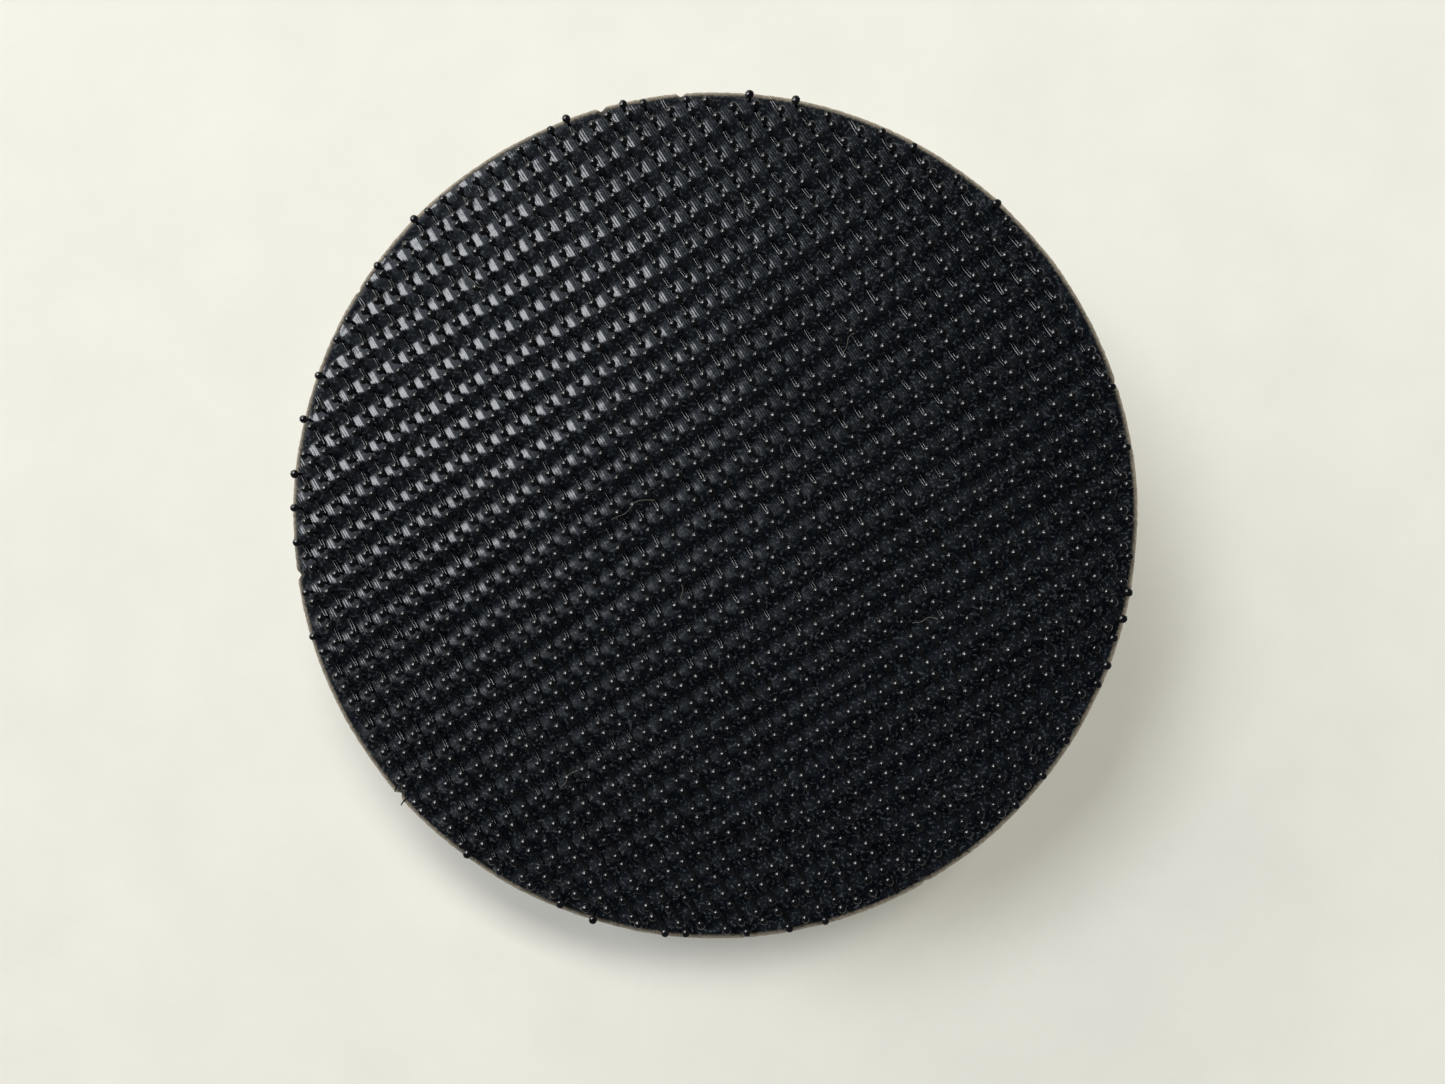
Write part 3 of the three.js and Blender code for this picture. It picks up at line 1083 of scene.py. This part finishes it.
class PAD_OT_hub(bpy.types.Operator):
    """Builds the pressed flange and finishes the threaded nut"""

    bl_idname = "pad.hub"
    bl_label = "Hub"

    def execute(self, context):
        hub = context.scene.pad_hub
        steel = zinc_plated_steel(hub.steel_colour, hub.turning_pitch)
        low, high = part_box("hub_flange")
        underside = low.z + 0.75 * MM
        hole_radius = 9.3 * MM
        corners = [
            (hole_radius, underside, 0.15 * MM),
            (high.x - 1.6 * MM, underside, 0.5 * MM),
            (high.x - 1.1 * MM, low.z, 0.3 * MM),
            (high.x, low.z, 0.3 * MM),
            (high.x, high.z, 0.5 * MM),
            (hole_radius, high.z, 0.15 * MM),
        ]
        piece = object_of("pressed_flange", turn(rounded(corners), 192), [steel])
        hand_over(piece, "zinc_plated_steel", "hub_flange")
        dress("hub_nut", steel)
        return {"FINISHED"}


class PAD_OT_rivets(bpy.types.Operator):
    """Sets the rivets round the flange by Geometry Nodes, and finishes their washers"""

    bl_idname = "pad.rivets"
    bl_label = "Rivets"

    def execute(self, context):
        names = [f"rivet_{i + 1}" for i in range(6)]
        low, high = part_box(names[0])
        head_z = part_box("hub_flange")[0].z + 0.75 * MM
        tail_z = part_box("rivet_washer_1")[1].z
        head_radius = (high.x - low.x) / 2
        shank_radius = 2 * MM
        tail_radius = 3.2 * MM
        outline = [Vector((0, low.z + 0.12 * MM)), Vector((shank_radius * 0.35, low.z + 0.1 * MM))]
        # A struck dome: a small flat, a step left by the rivet set, and the rounded flank.
        for k in range(8):
            t = k / 7
            angle = math.pi / 2 * t
            reach = shank_radius * 0.45 + (head_radius - shank_radius * 0.45) * math.sin(angle)
            outline.append(Vector((reach, low.z + (head_z - low.z) * (1 - math.cos(angle)))))
        outline += [Vector((shank_radius, head_z)), Vector((shank_radius, tail_z))]
        for k in range(6):
            angle = math.pi / 2 * k / 5
            reach = tail_radius * (0.5 + 0.5 * math.cos(angle))
            outline.append(Vector((reach, tail_z + (high.z - tail_z) * math.sin(angle))))
        outline.append(Vector((0, high.z)))
        rivet = object_of("rivet", turn(outline, 32))
        steel = bpy.data.materials["zinc_plated_steel"]
        circle = (low.x + high.x) / 2
        values = {"Count": len(names), "Circle Radius": circle, "Piece": rivet, "Finish": steel}
        piece = grown("rivets", ring_tree(), values)
        bpy.data.objects.remove(rivet)
        hand_over(piece, "zinc_plated_steel", *names)
        for i in range(len(names)):
            dress(f"rivet_washer_{i + 1}", steel)
        return {"FINISHED"}


class PAD_OT_stage(bpy.types.Operator):
    """Sets the pale table, the soft lights and the camera over the hook face"""

    bl_idname = "pad.stage"
    bl_label = "Table, lights and camera"

    def execute(self, context):
        stage = context.scene.pad_stage
        table = bmesh.new()
        bmesh.ops.create_grid(table, x_segments=1, y_segments=1, size=TABLE_HALF_WIDTH)
        floor = object_of("table", table, [painted_board(stage.floor_colour)])
        set_room(context.scene, stage.room_light)
        context.scene.view_settings.view_transform = "Standard"
        warm, cool = (1.0, 0.97, 0.9), (0.95, 0.96, 1.0)
        power = stage.key_power
        add_light("window", azimuth=143, tilt=35, width=0.66, height=0.45, power=power * 1.2, tint=cool)
        fill = add_light("tube", azimuth=64, tilt=28, width=0.5, height=0.17, power=power * 1.35, tint=warm)
        # The tube leaves no glare: the face's shine comes from the window and the wall.
        fill.visible_glossy = False
        add_light("wall", azimuth=138, tilt=60, width=1.9, height=0.45, power=power * 0.8, tint=warm)
        add_camera(context.scene, stage.camera_height)
        return {"FINISHED"}


def set_room(scene, strength):
    """Lights the scene all round: bright near the horizon, dim overhead."""
    world = bpy.data.worlds.new("room")
    scene.world = world
    world.use_nodes = True
    tree = world.node_tree
    tree.nodes.clear()
    direction = add_node(tree, "ShaderNodeTexCoord").outputs["Generated"]
    height = add_node(tree, "ShaderNodeSeparateXYZ", inputs={0: direction}).outputs[2]
    tint = ramp(tree, height, (*linear("E4E1DA"), 1), (*linear("4E5054"), 1), 0.05, 0.6)
    background = add_node(tree, "ShaderNodeBackground", inputs={"Color": tint, "Strength": strength})
    add_node(tree, "ShaderNodeOutputWorld", inputs={"Surface": background.outputs[0]})


def add_light(name, azimuth, tilt, width, height, power, tint):
    """A soft light aimed at the pad, tilt degrees from overhead towards an azimuth in degrees from +X."""
    light = bpy.data.lights.new(name, "AREA")
    light.shape = "RECTANGLE"
    light.size, light.size_y = width, height
    light.energy = power
    light.color = tint
    lamp = bpy.data.objects.new(name, light)
    across = math.sin(math.radians(tilt))
    direction = Vector(
        (
            across * math.cos(math.radians(azimuth)),
            across * math.sin(math.radians(azimuth)),
            math.cos(math.radians(tilt)),
        )
    )
    lamp.location = direction * LIGHT_DISTANCE + Vector((0, 0, FACE_Z))
    lamp.rotation_euler = direction.to_track_quat("Z", "Y").to_euler()
    bpy.context.scene.collection.objects.link(lamp)
    return lamp


def add_camera(scene, height):
    """A wide lens close over the face, standing right of the axis and looking a little to its left."""
    lens = bpy.data.cameras.new("camera")
    lens.lens = 26
    lens.sensor_width = 36
    lens.clip_start = 0.001
    place = Vector((6.0 * MM, -1.2 * MM, FACE_Z + height))
    target = Vector((1.4 * MM, -2.2 * MM, FACE_Z))
    backwards = (place - target).normalized()
    right = Vector((0, 1, 0)).cross(backwards).normalized()
    up = backwards.cross(right)
    camera = bpy.data.objects.new("camera", lens)
    axes = Matrix((right, up, backwards)).transposed().to_4x4()
    camera.matrix_world = Matrix.Translation(place) @ axes
    scene.collection.objects.link(camera)
    scene.camera = camera


class PAD_PT_builder(bpy.types.Panel):
    bl_idname = "PAD_PT_builder"
    bl_label = "Backing Pad"
    bl_space_type = "VIEW_3D"
    bl_region_type = "UI"
    bl_category = "Backing Pad"

    def draw(self, context):
        for group in (
            context.scene.pad_hooks,
            context.scene.pad_sheet,
            context.scene.pad_body,
            context.scene.pad_hub,
            context.scene.pad_stage,
        ):
            box = self.layout.box()
            for name in group.__annotations__:
                box.prop(group, name)
        for operator in OPERATORS:
            self.layout.operator(operator.bl_idname)


SETTINGS = {
    "pad_hooks": HookSettings,
    "pad_sheet": SheetSettings,
    "pad_body": BodySettings,
    "pad_hub": HubSettings,
    "pad_stage": StageSettings,
}
OPERATORS = (
    PAD_OT_hub,
    PAD_OT_rivets,
    PAD_OT_plate,
    PAD_OT_cushion,
    PAD_OT_adhesives,
    PAD_OT_hook_sheet,
    PAD_OT_hooks,
    PAD_OT_floats,
    PAD_OT_loose_ends,
    PAD_OT_stage,
)


def register():
    for cls in (*SETTINGS.values(), *OPERATORS, PAD_PT_builder):
        bpy.utils.register_class(cls)
    for name, cls in SETTINGS.items():
        setattr(bpy.types.Scene, name, PointerProperty(type=cls))


def unregister():
    for name in SETTINGS:
        delattr(bpy.types.Scene, name)
    for cls in reversed((*SETTINGS.values(), *OPERATORS, PAD_PT_builder)):
        bpy.utils.unregister_class(cls)


def main():
    register()
    for operator in OPERATORS:
        group, name = operator.bl_idname.split(".")
        getattr(getattr(bpy.ops, group), name)()


if __name__ == "__main__":
    main()
